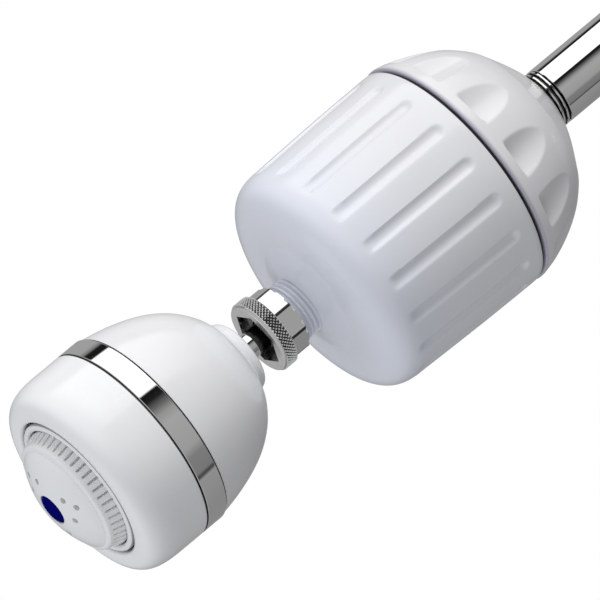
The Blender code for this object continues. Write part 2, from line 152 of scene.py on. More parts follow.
def smooth(start, end, value):
    """Runs from 0 at start to 1 at end with soft ends. start may be the larger of the two."""
    t = np.clip((value - start) / (end - start), 0.0, 1.0)
    return t * t * (3.0 - 2.0 * t)


# ---------------------------------------------------------------- meshes
def finish_mesh(name, verts, faces, sharp=SHARP):
    """A mesh of points and faces: doubles welded, normals outward, smooth up to sharp degrees."""
    mesh = bpy.data.meshes.new(name)
    mesh.from_pydata([tuple(v) for v in verts], [], faces)
    mesh.validate()
    work = bmesh.new()
    work.from_mesh(mesh)
    bmesh.ops.remove_doubles(work, verts=work.verts, dist=0.0005 * MM)
    bmesh.ops.recalc_face_normals(work, faces=work.faces)
    work.to_mesh(mesh)
    work.free()
    mesh.shade_smooth()
    mesh.set_sharp_from_angle(angle=math.radians(sharp))
    return mesh


def grid_faces(rings, count, closed=True):
    """The faces between rings of count points. closed joins the last ring to the first."""
    faces = []
    for ring in range(rings if closed else rings - 1):
        after = (ring + 1) % rings
        for step in range(count):
            beside = (step + 1) % count
            faces.append((ring * count + step, after * count + step,
                          after * count + beside, ring * count + beside))
    return faces


def turned_mesh(name, profile, count, shape=None, closed=True, phase=0.0, sharp=SHARP):
    """Turns a profile about the axis in count steps, the first at phase degrees. shape takes theta in
    degrees, radius, station and the profile's normal, and returns the moved radius and station."""
    points = np.array(profile, float)
    if closed:
        ahead = np.roll(points, -1, 0)
        behind = np.roll(points, 1, 0)
    else:
        ahead = np.vstack([points[1:], points[-1:]])
        behind = np.vstack([points[:1], points[:-1]])
    run = ahead - behind
    run /= np.maximum(np.hypot(run[:, 0], run[:, 1]), 1e-9)[:, None]
    normal = np.stack([-run[:, 1], run[:, 0]], 1)
    theta, radius = np.meshgrid(phase + 360.0 * np.arange(count) / count, points[:, 0])
    station = np.repeat(points[:, 1][:, None], count, 1)
    if shape is not None:
        radius, station = shape(theta, radius, station, normal)
    turn = np.radians(theta)
    verts = np.stack([radius * np.cos(turn), radius * np.sin(turn), station], 2).reshape(-1, 3) * MM
    return finish_mesh(name, verts, grid_faces(len(points), count, closed), sharp)


def piece(mesh, body, stands_for, mat, place=HANG):
    """One visible piece, named as its mesh: placed, riding on its body, standing for its CAD node."""
    node = bpy.data.objects.new(mesh.name, mesh)
    scene.collection.objects.link(node)
    node.matrix_world = place
    node.data.materials.append(mat)
    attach(node, body)
    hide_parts(stands_for)
    return node


def repaint(node, paints):
    """Other materials on some faces of a piece. paints lists (material, test). Each test looks at the radius,
    station and theta of a face's middle, and the first material whose test is true is taken."""
    for mat, test in paints:
        node.data.materials.append(mat)
    for face in node.data.polygons:
        spot = face.center / MM
        radius = math.hypot(spot.x, spot.y)
        theta = math.degrees(math.atan2(spot.y, spot.x))
        for index, (mat, test) in enumerate(paints, 1):
            if test(radius, spot.z, theta):
                face.material_index = index
                break


def carve(node, tool_mesh, name):
    """Cuts a tool mesh out of a piece."""
    tool = bpy.data.objects.new(name, tool_mesh)
    scene.collection.objects.link(tool)
    tool.matrix_world = node.matrix_world.copy()
    step = node.modifiers.new(name, "BOOLEAN")
    step.operation = "DIFFERENCE"
    step.solver = "EXACT"
    step.object = tool
    depsgraph = bpy.context.evaluated_depsgraph_get()
    made = bpy.data.meshes.new_from_object(node.evaluated_get(depsgraph))
    node.modifiers.clear()
    node.data = made
    bpy.data.objects.remove(tool, do_unlink=True)
    made.shade_smooth()
    made.set_sharp_from_angle(angle=math.radians(SHARP))


# ---------------------------------------------------------------- materials
def nodes_of(name):
    """A new material, its node tree and its main shader."""
    mat = bpy.data.materials.new(name)
    mat.use_nodes = True
    tree = mat.node_tree
    return mat, tree, tree.nodes["Principled BSDF"]


def noise(tree, scale, detail=3.0, roughness=0.5, stretch=(1.0, 1.0, 1.0)):
    """Noise in object space. scale is in features a metre."""
    coords = tree.nodes.new("ShaderNodeTexCoord")
    spread = tree.nodes.new("ShaderNodeMapping")
    spread.inputs["Scale"].default_value = stretch
    tree.links.new(coords.outputs["Object"], spread.inputs["Vector"])
    texture = tree.nodes.new("ShaderNodeTexNoise")
    texture.inputs["Scale"].default_value = scale
    texture.inputs["Detail"].default_value = detail
    texture.inputs["Roughness"].default_value = roughness
    tree.links.new(spread.outputs["Vector"], texture.inputs["Vector"])
    return texture.outputs["Fac"]


def spread_to(tree, value, low, high, from_low=0.3, from_high=0.7):
    """Maps the range from_low to from_high, where noise mostly lies, to low to high."""
    step = tree.nodes.new("ShaderNodeMapRange")
    step.inputs["From Min"].default_value = from_low
    step.inputs["From Max"].default_value = from_high
    step.inputs["To Min"].default_value = low
    step.inputs["To Max"].default_value = high
    tree.links.new(value, step.inputs["Value"])
    return step.outputs["Result"]


def blend_colors(tree, value, first, second):
    """Mixes two colours. Each is a tuple or another node's output."""
    mix = tree.nodes.new("ShaderNodeMix")
    mix.data_type = "RGBA"
    for socket, color in (("A", first), ("B", second)):
        if isinstance(color, tuple):
            mix.inputs[socket].default_value = (*color, 1.0)
        else:
            tree.links.new(color, mix.inputs[socket])
    tree.links.new(value, mix.inputs["Factor"])
    return mix.outputs["Result"]


def by_station(tree, start, end):
    """A share that runs from 0 at one station to 1 at another, in the piece's own space."""
    coords = tree.nodes.new("ShaderNodeTexCoord")
    split = tree.nodes.new("ShaderNodeSeparateXYZ")
    tree.links.new(coords.outputs["Object"], split.inputs["Vector"])
    return spread_to(tree, split.outputs["Z"], 0.0, 1.0, start * MM, end * MM)


def bump(tree, height, shader, strength, distance):
    step = tree.nodes.new("ShaderNodeBump")
    step.inputs["Strength"].default_value = strength
    step.inputs["Distance"].default_value = distance
    tree.links.new(height, step.inputs["Height"])
    tree.links.new(step.outputs["Normal"], shader.inputs["Normal"])


def plastic(name, color, roughness, texture=0.02, tint=0.03, shift=None):
    """Moulded gloss plastic: a faint flow mottle, a little uneven polish and a fine orange-peel skin.
    shift is (start station, end station, colour there)."""
    mat, tree, shader = nodes_of(name)
    mottle = spread_to(tree, noise(tree, scale=45.0, detail=4.0), 0.0, 1.0)
    darker = tuple(c * (1.0 - tint) for c in color)
    mixed = blend_colors(tree, mottle, darker, color)
    if shift:
        mixed = blend_colors(tree, by_station(tree, shift[0], shift[1]), mixed, shift[2])
    polish = noise(tree, scale=160.0, detail=5.0)
    skin = noise(tree, scale=900.0, detail=2.0)
    tree.links.new(mixed, shader.inputs["Base Color"])
    tree.links.new(spread_to(tree, polish, roughness * 0.8, roughness * 1.25), shader.inputs["Roughness"])
    bump(tree, skin, shader, strength=texture, distance=0.1 * MM)
    shader.inputs["IOR"].default_value = 1.52
    shader.inputs["Coat Weight"].default_value = 0.25
    shader.inputs["Coat Roughness"].default_value = 0.08
    return mat


def plating(name, color, roughness, scratch=0.015):
    """Chrome plate: mirror bright, with slightly uneven polish and fine wipe marks."""
    mat, tree, shader = nodes_of(name)
    shader.inputs["Metallic"].default_value = 1.0
    haze = spread_to(tree, noise(tree, scale=70.0, detail=4.0), 0.0, 1.0)
    duller = tuple(c * 0.96 for c in color)
    polish = noise(tree, scale=260.0, detail=5.0, roughness=0.6)
    wipes = noise(tree, scale=420.0)
    tree.links.new(blend_colors(tree, haze, duller, color), shader.inputs["Base Color"])
    tree.links.new(spread_to(tree, polish, roughness * 0.6, roughness * 1.6), shader.inputs["Roughness"])
    bump(tree, wipes, shader, strength=scratch, distance=0.05 * MM)
    return mat


def rubber(name):
    mat, tree, shader = nodes_of(name)
    dust = spread_to(tree, noise(tree, scale=120.0, detail=5.0), 0.0, 1.0)
    wear = noise(tree, scale=300.0, detail=4.0)
    grain = noise(tree, scale=1500.0)
    tree.links.new(blend_colors(tree, dust, (0.012, 0.012, 0.013), (0.035, 0.035, 0.037)),
                   shader.inputs["Base Color"])
    tree.links.new(spread_to(tree, wear, 0.45, 0.7), shader.inputs["Roughness"])
    bump(tree, grain, shader, strength=0.08, distance=0.1 * MM)
    return mat


def felt_cloth(name):
    mat, tree, shader = nodes_of(name)
    fibre = noise(tree, scale=1800.0, detail=6.0, roughness=0.7, stretch=(1.0, 1.0, 0.35))
    pale = spread_to(tree, fibre, 0.0, 1.0)
    tree.links.new(blend_colors(tree, pale, (0.58, 0.56, 0.5), (0.84, 0.82, 0.77)),
                   shader.inputs["Base Color"])
    shader.inputs["Roughness"].default_value = 0.95
    shader.inputs["Sheen Weight"].default_value = 0.3
    bump(tree, fibre, shader, strength=0.7, distance=0.4 * MM)
    return mat


def grains(name):
    """Packed brass-coloured granules."""
    mat, tree, shader = nodes_of(name)
    coords = tree.nodes.new("ShaderNodeTexCoord")
    cells = tree.nodes.new("ShaderNodeTexVoronoi")
    cells.inputs["Scale"].default_value = 900.0
    tree.links.new(coords.outputs["Object"], cells.inputs["Vector"])
    tint = tree.nodes.new("ShaderNodeSeparateColor")
    tree.links.new(cells.outputs["Color"], tint.inputs["Color"])
    tree.links.new(blend_colors(tree, tint.outputs["Red"], (0.3, 0.2, 0.09), (0.62, 0.48, 0.26)),
                   shader.inputs["Base Color"])
    tree.links.new(spread_to(tree, tint.outputs["Green"], 0.35, 0.75, 0.0, 1.0), shader.inputs["Roughness"])
    shader.inputs["Metallic"].default_value = 0.6
    bump(tree, cells.outputs["Distance"], shader, strength=0.9, distance=0.8 * MM)
    return mat


def woven_steel(name):
    mat, tree, shader = nodes_of(name)
    shader.inputs["Metallic"].default_value = 1.0
    coords = tree.nodes.new("ShaderNodeTexCoord")
    weave = tree.nodes.new("ShaderNodeMath")
    weave.operation = "MAXIMUM"
    for index, direction in enumerate("XY"):
        wires = tree.nodes.new("ShaderNodeTexWave")
        wires.bands_direction = direction
        wires.inputs["Scale"].default_value = 450.0
        tree.links.new(coords.outputs["Object"], wires.inputs["Vector"])
        tree.links.new(wires.outputs["Fac"], weave.inputs[index])
    polish = noise(tree, scale=200.0, detail=4.0)
    tree.links.new(blend_colors(tree, weave.outputs["Value"], (0.12, 0.12, 0.12), (0.62, 0.62, 0.63)),
                   shader.inputs["Base Color"])
    tree.links.new(spread_to(tree, polish, 0.25, 0.45), shader.inputs["Roughness"])
    bump(tree, weave.outputs["Value"], shader, strength=0.8, distance=0.3 * MM)
    return mat


# the cap darkens in the lip's painted shade above the seam, the housing turns bluer to its lower end in a
# painted reflection
SEAM_SHADE = (2.1, 0.5, (0.36, 0.345, 0.42))
LOW_END_BLUE_REFLECTION = (-24.0, -60.0, (0.74, 0.76, 0.825))
white_cap = plastic("white_cap", (0.775, 0.77, 0.785), 0.2, shift=SEAM_SHADE)
white_housing = plastic("white_housing", (0.765, 0.765, 0.785), 0.2, shift=LOW_END_BLUE_REFLECTION)
white_rear = plastic("white_rear", (0.82, 0.82, 0.825), 0.18)
white_front = plastic("white_front", (0.85, 0.85, 0.85), 0.18)
white_ring = plastic("white_ring", (0.83, 0.835, 0.83), 0.26)
ring_shadow = plastic("ring_shadow", (0.38, 0.38, 0.385), 0.4)
white_dial = plastic("white_dial", (0.825, 0.83, 0.82), 0.26)
navy = plastic("navy", (0.003, 0.003, 0.13), 0.25, tint=0.25)
for socket in ("Specular IOR Level", "Coat Weight"):
    navy.node_tree.nodes["Principled BSDF"].inputs[socket].default_value = 0.0
chrome_arm = plating("chrome_arm", (0.93, 0.93, 0.92), 0.035)
chrome_flange = plating("chrome_flange", (0.74, 0.74, 0.73), 0.05)
chrome_nut = plating("chrome_nut", (0.9, 0.91, 0.89), 0.06)
chrome_ball = plating("chrome_ball", (0.85, 0.86, 0.85), 0.05)
chrome_trim = plating("chrome_trim", (0.95, 0.955, 0.94), 0.03)
thread_groove_shade = plating("thread_groove_shade", (0.10, 0.098, 0.09), 0.28, scratch=0.04)
nut_socket_shade = plating("nut_socket_shade", (0.42, 0.42, 0.42), 0.1, scratch=0.04)
nut_shadow = plating("nut_shadow", (0.075, 0.075, 0.078), 0.16, scratch=0.04)
nut_face = plating("nut_face", (0.84, 0.85, 0.84), 0.24, scratch=0.04)
nut_corner_dark_reflection = plating("nut_corner_dark_reflection", (0.09, 0.09, 0.088), 0.2, scratch=0.03)
screw_steel = plating("screw_steel", (0.55, 0.55, 0.55), 0.22, scratch=0.05)
seam_gasket_and_shade = rubber("seam_gasket_and_shade")
# black rubber for the seals, also laid on the head's gap faces as painted shade
black_rubber = rubber("black_rubber")
nylon = plastic("nylon", (0.62, 0.6, 0.54), 0.45, texture=0.05, tint=0.08)
black_acetal = plastic("black_acetal", (0.012, 0.012, 0.013), 0.35, texture=0.05, tint=0.3)
cartridge_white = plastic("cartridge_white", (0.68, 0.68, 0.67), 0.42, texture=0.05, tint=0.06)
green_plastic = plastic("green_plastic", (0.05, 0.32, 0.15), 0.35, texture=0.04, tint=0.12)
grey_plastic = plastic("grey_plastic", (0.2, 0.21, 0.22), 0.4, texture=0.05, tint=0.12)
felt = felt_cloth("felt")
granules = grains("granules")
screen_steel = woven_steel("screen_steel")

carried = {
    "inlet_washer": black_rubber,
    "cartridge_shell": cartridge_white,
    "cartridge_top_screen": screen_steel,
    "cartridge_bottom_screen": screen_steel,
    "felt_pad_top": felt,
    "felt_pad_bottom": felt,
    "media_bed": granules,
    "cartridge_seal": black_rubber,
    "inlet_screen": screen_steel,
    "flow_restrictor": green_plastic,
    "ball_seal": black_rubber,
    "swivel_ring": black_acetal,
    "stem_oring": black_rubber,
    "manifold": grey_plastic,
    "manifold_oring": black_rubber,
    "manifold_screw_1": screw_steel,
    "manifold_screw_2": screw_steel,
    "manifold_screw_3": screw_steel,
    "dial_seal": black_rubber,
    "dial_screw": screw_steel,
    "turbine": nylon,
}
for node_name, mat in carried.items():
    node = frame["nodes"][node_name]
    node.data.materials.clear()
    node.data.materials.append(mat)


# ---------------------------------------------------------------- wall arm and flange
PIPE = 10.65            # outer radius
BORE = 7.9              # inner radius
STUB = 18.0             # length inside the wall
RUN = 70.0              # level length from the wall to the bend
BEND = 60.0             # radius of the bend's middle line
BEND_ANGLE = math.radians(45.0)
LOW_END = 26.7          # station of the end inside the cap
WALL_THREAD = 19.0      # lengths of the threads
LOW_THREAD = 16.95
GROOVE = 0.18           # depth of cut from which a thread's groove is painted dark as painted shade
CHAMFER = 0.9
ARM_STEPS = 96

bend_start = STUB + RUN
bend_end = bend_start + BEND * BEND_ANGLE
tangent = BEND * math.tan(0.5 * BEND_ANGLE)
corner_station = UP_AXIS.dot(Vector((-(RUN + tangent) * MM, 0.0, 0.0)) - SEAM) / MM
arm_length = bend_end + corner_station - tangent - LOW_END
around = 360.0 * np.arange(ARM_STEPS) / ARM_STEPS


def arm_point(run):
    """Centre and upward normal of the arm, run millimetres from its wall end."""
    if run < bend_start:
        return Vector((STUB - run, 0.0, 0.0)), Vector((0.0, 0.0, 1.0))
    turn = min((run - bend_start) / BEND, BEND_ANGLE)
    up = Vector((-math.sin(turn), 0.0, math.cos(turn)))
    centre = Vector((-RUN, 0.0, -BEND)) + BEND * up
    if run < bend_end:
        return centre, up
    along = Vector((-math.cos(BEND_ANGLE), 0.0, -math.sin(BEND_ANGLE)))
    return centre + along * (run - bend_end), up


def thread_depth(run, theta, length):
    """How far a pipe thread is cut below the pipe's skin, from an end at run 0. It fades out at length."""
    turn = np.mod(run / PITCH + theta / 360.0, 1.0)
    tooth = smooth(0.3, 0.68, np.abs(turn - 0.5) * 2.0)
    return THREAD * (1.0 - tooth) * (1.0 - smooth(length - 0.2, length + 0.4, run))


def arm_cut(run):
    """Depth of the two threads all round the arm, run millimetres from its wall end."""
    return thread_depth(run, around, WALL_THREAD) + thread_depth(arm_length - run, -around, LOW_THREAD)


def arm_ring(run, reaches):
    """A ring of points round the arm's middle line. reaches gives each point's distance from it."""
    centre, up = arm_point(run)
    made = []
    for angle, reach in zip(np.radians(around).tolist(), reaches):
        made.append((centre + reach * (math.cos(angle) * up + math.sin(angle) * Y_AXIS)) * MM)
    return made


# the arm's rings, as (from, to, step): fine on the threads, closer in the bend than on the straights
fine_end = WALL_THREAD + 1.0
fine_start = arm_length - LOW_THREAD - 2.55
stretches = [(0.0, fine_end, THREAD_STEP), (fine_end, bend_start, 4.0), (bend_start, bend_end, 1.2),
             (bend_end, fine_start, 3.0), (fine_start, arm_length, THREAD_STEP)]
runs = [float(run) for first, last, step in stretches for run in np.arange(first, last, step)] + [arm_length]
verts = []
for run in runs:
    chamfer = CHAMFER * (2.0 - smooth(0.0, 1.0, run) - smooth(0.0, 1.0, arm_length - run))
    verts += arm_ring(run, (PIPE - np.maximum(arm_cut(run), chamfer)).tolist())
for run in [arm_length, *np.arange(arm_length - 4.0, 4.0, -4.0).tolist(), 0.0]:
    verts += arm_ring(run, [BORE] * ARM_STEPS)
arm_mesh = finish_mesh("arm_pipe", verts, grid_faces(len(verts) // ARM_STEPS, ARM_STEPS))
arm = piece(arm_mesh, "wall_side", "shower_arm", chrome_arm, Matrix.Identity(4))
# the thread grooves cut deeper than GROOVE get a near-black plating: painted shade
arm.data.materials.append(thread_groove_shade)
for index in range(len(runs) - 1):
    cut = arm_cut(0.5 * (runs[index] + runs[index + 1]))
    for step in np.nonzero(cut > GROOVE)[0].tolist():
        arm.data.polygons[index * ARM_STEPS + step].material_index = 1

flange = outline([(11.0, 12.4, 0.3), (12.3, 12.4, 0.5), (13.6, 11.4, 1.0), (18.5, 8.9, 3.0), (24.5, 6.6, 3.0),
                  (29.2, 4.4, 2.0), (31.0, 2.0, 1.2), (31.0, 0.0, 0.2), (28.4, 0.0, 0.2), (28.2, 2.6, 1.0),
                  (23.8, 4.9, 2.0), (17.8, 7.3, 2.0), (12.6, 9.9, 0.5), (11.0, 9.9, 0.3)])
flange_mesh = turned_mesh("flange_bell", flange, 144)
piece(flange_mesh, "wall_side", "wall_flange", chrome_flange, WALL)


# ---------------------------------------------------------------- filter cap
SCOOPS = 12
SCOOP_PHASE = 21.2      # degrees to the first scoop
SCOOP_HALF = 7.4        # half its width at its flat lower end
SCOOP_LONG = 17.4       # its length up the dome
SCOOP_LOW = 4.9         # station of its lower end
SCOOP_DEEP = 2.8
SCOOP_RIM = 0.03        # share of the depth that eases its rim
DOME_SLOPE = 0.93       # stations in a millimetre up the dome's side
SKIRT = 38.3            # radius of the skirt inside the housing
SKIRT_PITCH = 4.0
SKIRT_THREAD = 0.7


def cap_shape(theta, radius, station, normal):
    """Thumb scoops round the dome, and a buttress thread on the skirt."""
    spacing = 360.0 / SCOOPS
    off = np.mod(theta - SCOOP_PHASE + 0.5 * spacing, spacing) - 0.5 * spacing
    across = np.radians(off) * radius
    along = (station - SCOOP_LOW) / DOME_SLOPE
    bowl = 1.0 - (across / SCOOP_HALF) ** 2 - (np.maximum(along, 0.0) / SCOOP_LONG) ** 2
    bowl = np.clip(bowl, 0.0, 1.0)
    depth = SCOOP_DEEP * (np.hypot(bowl, SCOOP_RIM) - SCOOP_RIM) * smooth(-0.1, 1.1, along)
    on_dome = (radius > 20.0) & (normal[:, :1] > 0.1) & (station > 1.0)
    depth = np.where(on_dome, depth, 0.0)
    turn = np.mod((station + 13.0) / SKIRT_PITCH - theta / 360.0, 1.0)
    ridge = smooth(0.0, 0.18, turn) * (1.0 - smooth(0.5, 0.8, turn))
    on_skirt = (radius > 38.0) & (station < -5.2) & (station > -12.9)
    thread = np.where(on_skirt, SKIRT_THREAD * (1.0 - ridge), 0.0)
    return radius - depth * normal[:, :1] - thread, station - depth * normal[:, 1:]


dome = flowing([(13.3, 38.5), (15.6, 37.5), (18.5, 35.95), (21.7, 34.0), (24.8, 31.95), (27.5, 30.1),
                (30.2, 28.1), (34.1, 23.8), (36.95, 19.6), (39.2, 15.4), (41.1, 11.1), (42.55, 6.9),
                (43.35, 3.6), (43.7, 1.9)], 0.42)
cap = corner((11.0, 37.0), (11.0, 38.8), (12.4, 38.8), 0.3) + [(12.4, 38.79), (12.9, 38.68)] + dome
cap += corner(dome[-1], (43.75, 0.55), (42.0, 0.55), 0.7)
cap += outline([(42.5, 0.55), (SKIRT, 0.55), (SKIRT, -1.8), (36.8, -1.8), (36.8, -4.7), (SKIRT, -4.7),
                (SKIRT, -13.0, 0.5), (35.6, -13.0, 0.5), (35.6, 8.0, 4.0), (33.4, 18.5, 5.0),
                (27.5, 26.0, 5.0), (20.0, 31.2, 4.0), (14.6, 33.5, 0.8), (14.6, 22.6), (7.5, 22.6),
                (7.5, 24.7), (11.0, 24.7)], closed=False, soft=0.2)
cap = denser(cap, -12.95, -4.9, 0.3)
cap_mesh = turned_mesh("cap_dome", cap, 480, cap_shape)
piece(cap_mesh, "wall_side", "filter_cap", white_cap)

# the seal's thin fin out to radius 42.3 fills the seam with dark rubber: painted shade for the gap's depth;
# the part inside the skirt is the seal itself
seal = outline([(36.95, -4.45), (39.4, -4.45), (39.45, -2.3), (38.95, -1.6), (38.95, -0.42), (42.3, -0.42),
                (42.3, 0.42), (38.35, 0.42), (38.25, -1.95), (36.95, -2.0)], soft=0.2)
seal_mesh = turned_mesh("cap_seal", seal, 240)
piece(seal_mesh, "wall_side", "housing_oring", seam_gasket_and_shade)


# ---------------------------------------------------------------- filter housing
FLUTES = 18
FLUTE_PHASE = 9.5       # degrees to the first flute
FLUTE_WIDE = 5.0
FLUTE_DEEP = 1.15
FLUTE_ROUND = (0.25 * FLUTE_WIDE ** 2 + FLUTE_DEEP ** 2) / (2.0 * FLUTE_DEEP)     # radius of its section
FLUTE_TOP = -7.1        # station of its round upper end
FLUTE_FADE = -51.0      # from this station down it gets shallower, to nothing at the next
FLUTE_END = -56.0


def housing_shape(theta, radius, station, normal):
    """Grip flutes down the barrel, and the outlet's pipe thread."""
    spacing = 360.0 / FLUTES
    off = np.mod(theta - FLUTE_PHASE + 0.5 * spacing, spacing) - 0.5 * spacing
    across = np.radians(off) * radius
    past_end = np.maximum(station - (FLUTE_TOP - 0.5 * FLUTE_WIDE), 0.0)
    reach = np.hypot(across, past_end)
    hollow = np.sqrt(np.maximum(FLUTE_ROUND ** 2 - reach ** 2, 0.0)) - (FLUTE_ROUND - FLUTE_DEEP)
    # eases the rim, where hollow passes through 0
    depth = 0.5 * (hollow + np.sqrt(hollow ** 2 + 0.012)) - 0.02
    depth = np.maximum(depth, 0.0) * smooth(FLUTE_END, FLUTE_FADE, station)
    on_barrel = (radius > 38.0) & (normal[:, :1] > 0.1) & (station < -2.0)
    turn = np.mod(station / PITCH - theta / 360.0, 1.0)
    tooth = smooth(0.08, 0.36, turn) * (1.0 - smooth(0.64, 0.92, turn))
    thread = THREAD * (1.0 - tooth) * smooth(-69.2, -70.4, station)
    on_outlet = (normal[:, :1] > 0.5) & (radius > 9.0) & (radius < 12.0) & (station < -69.0)
    cut = np.where(on_barrel, depth * normal[:, :1], 0.0) + np.where(on_outlet, thread, 0.0)
    return radius - cut, station


housing = [(42.9, -0.6), (43.25, -0.8), (43.45, -1.25), (43.5, -2.6)]
housing += flowing([(43.5, -3.0), (43.42, -12.0), (43.25, -24.0), (42.95, -36.0), (42.55, -50.0)], 0.9)
housing += shoulder(-65.9, 21.1, -50.9, 42.5, power=3.05, count=40)[1:]
housing += flowing([(20.2, -66.15), (16.0, -67.35), (13.2, -68.3), (11.6, -69.05), (10.75, -69.7)], 0.5)
housing += denser([(PIPE, -70.0), (PIPE, -76.25)], -80.0, -69.0, THREAD_STEP)
housing += outline([(10.6, -76.3), (9.85, -76.4), (9.85, -79.0), (7.6, -79.0), (7.6, -62.3), (13.0, -62.3),
                    (13.0, -63.2), (20.0, -62.6, 2.0), (32.0, -59.6, 4.0), (37.4, -55.0, 3.0),
                    (39.4, -48.0, 3.0), (39.4, -14.0), (38.6, -13.4), (38.6, -5.6), (39.9, -5.4),
                    (39.9, -0.6)], closed=False, soft=0.2)
housing_mesh = turned_mesh("housing_cup", housing, 540, housing_shape)
piece(housing_mesh, "housing", "filter_housing", white_housing)


# ---------------------------------------------------------------- swivel nut
NUT_PHASE = 14.2        # degrees to a corner of the flats
HEXAGON_TURN = -44.7    # from there to a corner of the socket
FLATS = 8
NUT_BACK = 12.5         # radius before the flats are cut
NUT_BAND = 13.5         # radius of the knurl
NUT_SOCKET = 10.3       # radius to the hexagon's corners
KNURLS = 60
KNURL_RISE = 1.36       # stations from one diamond to the next
KNURL_DEEP = 0.56


def polygon(theta, phase, sides, corner_radius, ease=0.0):
    """Radius of a polygon in direction theta. ease rounds the corners, in millimetres."""
    step = 360.0 / sides
    inner = corner_radius * math.cos(math.pi / sides)
    off = np.radians(np.mod(theta - phase, step) - 0.5 * step)
    sharp = inner / np.cos(off)
    if ease <= 0.0:
        return sharp
    half = math.pi / sides
    reach = (inner - ease) / math.cos(half)
    away = np.radians(np.mod(theta - phase + 0.5 * step, step) - 0.5 * step)
    rounded = reach * np.cos(away) + np.sqrt(np.maximum(ease ** 2 - (reach * np.sin(away)) ** 2, 0.0))
    on_arc = np.abs(away) < math.atan2(ease * math.sin(half), reach + ease * math.cos(half))
    return np.where(on_arc, rounded, sharp)


def nut_shape(theta, radius, station, normal):
    """Eight flats at the back, a diamond knurl round the front, a six-sided socket in the face."""
    flats = polygon(theta, NUT_PHASE, FLATS, corner_radius=12.6, ease=1.6)
    at_back = (station > -83.25) & (radius > 10.9)
    made = np.where(at_back, np.minimum(radius, flats), radius)
    turns = theta / 360.0 * KNURLS
    lift = (station + 88.0) / KNURL_RISE
    first = np.abs(np.mod(turns + lift, 1.0) - 0.5) * 2.0
    second = np.abs(np.mod(turns - lift, 1.0) - 0.5) * 2.0
    knurl = np.clip(np.minimum(first, second) * 1.35, 0.0, 1.0)
    zone = smooth(-83.35, -83.6, station) * (1.0 - smooth(-87.45, -87.68, station))
    on_knurl = (radius > 13.35) & (normal[:, :1] > 0.2)
    made = made - KNURL_DEEP * (1.0 - knurl) * zone * on_knurl
    hexagon = polygon(theta, NUT_PHASE + HEXAGON_TURN, sides=6, corner_radius=NUT_SOCKET)
    in_socket = (radius < 10.4) & (radius > 8.0) & (station < -84.95)
    return np.where(in_socket, hexagon, made), station


# the hexagon socket and the nut's inside behind it get a darker plating: painted shade
def in_nut_socket(radius, station, theta):
    return -87.76 < station < -80.0 and radius < 10.42


def in_nut_shade(radius, station, theta):
    """The knurl's grooves, and the nut's back rim round the outlet."""
    return -87.72 < station < -80.0 and 12.9 < radius < 13.14 or station > -76.5 and radius < 11.8


def on_nut_face(radius, station, theta):
    return station < -88.65 and radius < 12.6


def on_nut_edge(radius, station, theta):
    """The rounded corners between the flats, painted near black as a painted dark reflection."""
    spacing = 360.0 / FLATS
    off = (theta - NUT_PHASE + 0.5 * spacing) % spacing - 0.5 * spacing
    return station > -83.2 and radius > 11.0 and abs(off) < 2.6


nut = [(11.2, -76.3), (11.75, -76.35), (NUT_BACK, -76.95)]
nut += denser([(NUT_BACK, -77.0), (NUT_BACK, -83.2)], -90.0, -70.0, 1.0)
nut += [(12.52, -83.22), (13.0, -83.24), (13.3, -83.3), (NUT_BAND, -83.42)]
nut += denser([(NUT_BAND, -83.45), (NUT_BAND, -87.65)], -90.0, -80.0, 0.085)
nut += [(NUT_BAND, -87.67), (13.3, -87.75), (13.12, -87.78), (13.1, -87.86), (13.08, -87.95), (12.98, -88.25),
        (12.85, -88.58), (12.78, -88.7), (12.66, -88.79), (12.5, -88.8), (11.4, -88.76), (10.36, -88.72)]
nut += [(NUT_SOCKET, station) for station in (-88.7, -88.3, -87.75, -87.0, -86.0, -85.1)]
nut += outline([(6.6, -84.95), (6.42, -84.8), (6.75, -84.2), (9.3, -84.2), (9.3, -80.9), (10.3, -80.9),
                (10.3, -76.3)], closed=False, soft=0.12)
nut_mesh = turned_mesh("nut_body", nut, 992, nut_shape, phase=NUT_PHASE, sharp=28.0)
nut_node = piece(nut_mesh, "housing", "swivel_nut", chrome_nut)
repaint(nut_node, [(nut_socket_shade, in_nut_socket), (nut_shadow, in_nut_shade), (nut_face, on_nut_face),
                   (nut_corner_dark_reflection, on_nut_edge)])


# ---------------------------------------------------------------- ball and stem
BALL = -81.5            # station of its middle
BALL_RADIUS = 7.0
STEM = 4.5              # radius
STEM_SHADE = -91.7      # above this station the nut's socket darkens the stem

ball = [(2.6, BALL + 6.5)]
for angle in np.radians(np.linspace(22.5, 139.5, 40)):
    ball.append((BALL_RADIUS * math.sin(angle), BALL + BALL_RADIUS * math.cos(angle)))
ball += outline([(STEM, -87.2, 0.4), (STEM, STEM_SHADE, 0.0), (STEM, -95.0, 0.0), (STEM, -100.6),
                 (6.1, -100.6), (6.1, -103.0), (2.6, -103.0)], closed=False, soft=0.2)
ball_mesh = turned_mesh("ball_and_stem", ball, 96)
ball_node = piece(ball_mesh, "ball", "ball_stem", chrome_ball)
repaint(ball_node, [(nut_shadow, lambda radius, station, theta: station > STEM_SHADE)])


# ---------------------------------------------------------------- head shells, band and ring
HEAD = 37.2             # radius of the band and of the front shell behind its shoulder
REAR_GAP = -137.25      # stations below which a face looks into the gap to the next piece: painted shade
BAND_GAP = -145.72
RING_GAP = 25.62        # radius beyond which the ring's faces do

